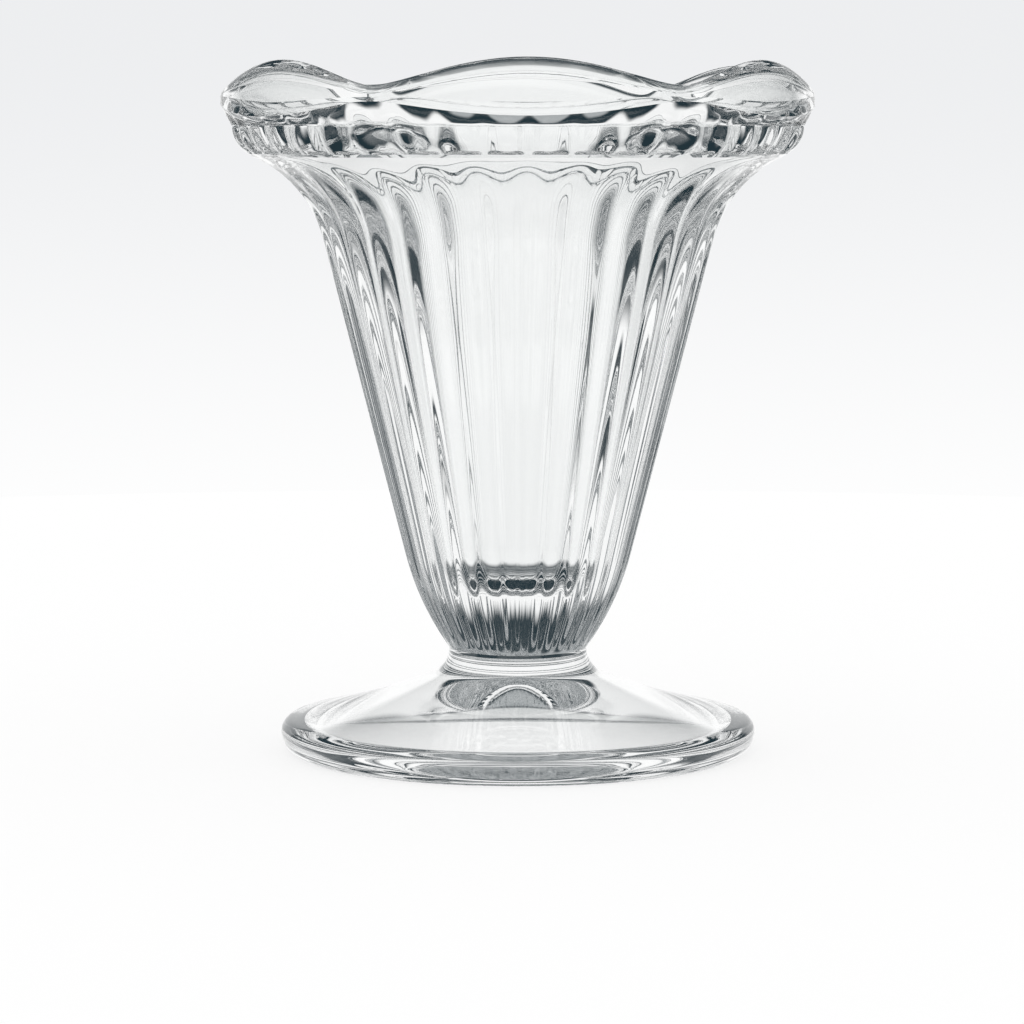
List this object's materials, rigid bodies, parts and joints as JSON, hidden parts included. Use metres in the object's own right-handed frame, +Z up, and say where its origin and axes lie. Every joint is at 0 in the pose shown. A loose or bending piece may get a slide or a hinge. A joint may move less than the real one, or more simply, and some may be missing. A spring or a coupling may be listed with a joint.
{
  "type": "ice cream coupe",
  "caption": "Footed pressed-glass coupe for ice cream: a tapered fluted bowl that flares to a gadrooned band and a scalloped rim, fused at a short neck to a round foot.",
  "frame": {"origin": "centre of the foot's resting ring, on the table", "axes": "+Z up along the axis of the glass; -Y through the middle of one lobe of the rim, +X through a corner between two lobes"},
  "size_m": [0.125, 0.122, 0.1457],
  "materials": {
    "clear_glass": "fire-polished clear pressed glass"
  },
  "bodies": {
    "root": {"bowl": "clear_glass", "foot": "clear_glass"}
  },
  "joints": []
}
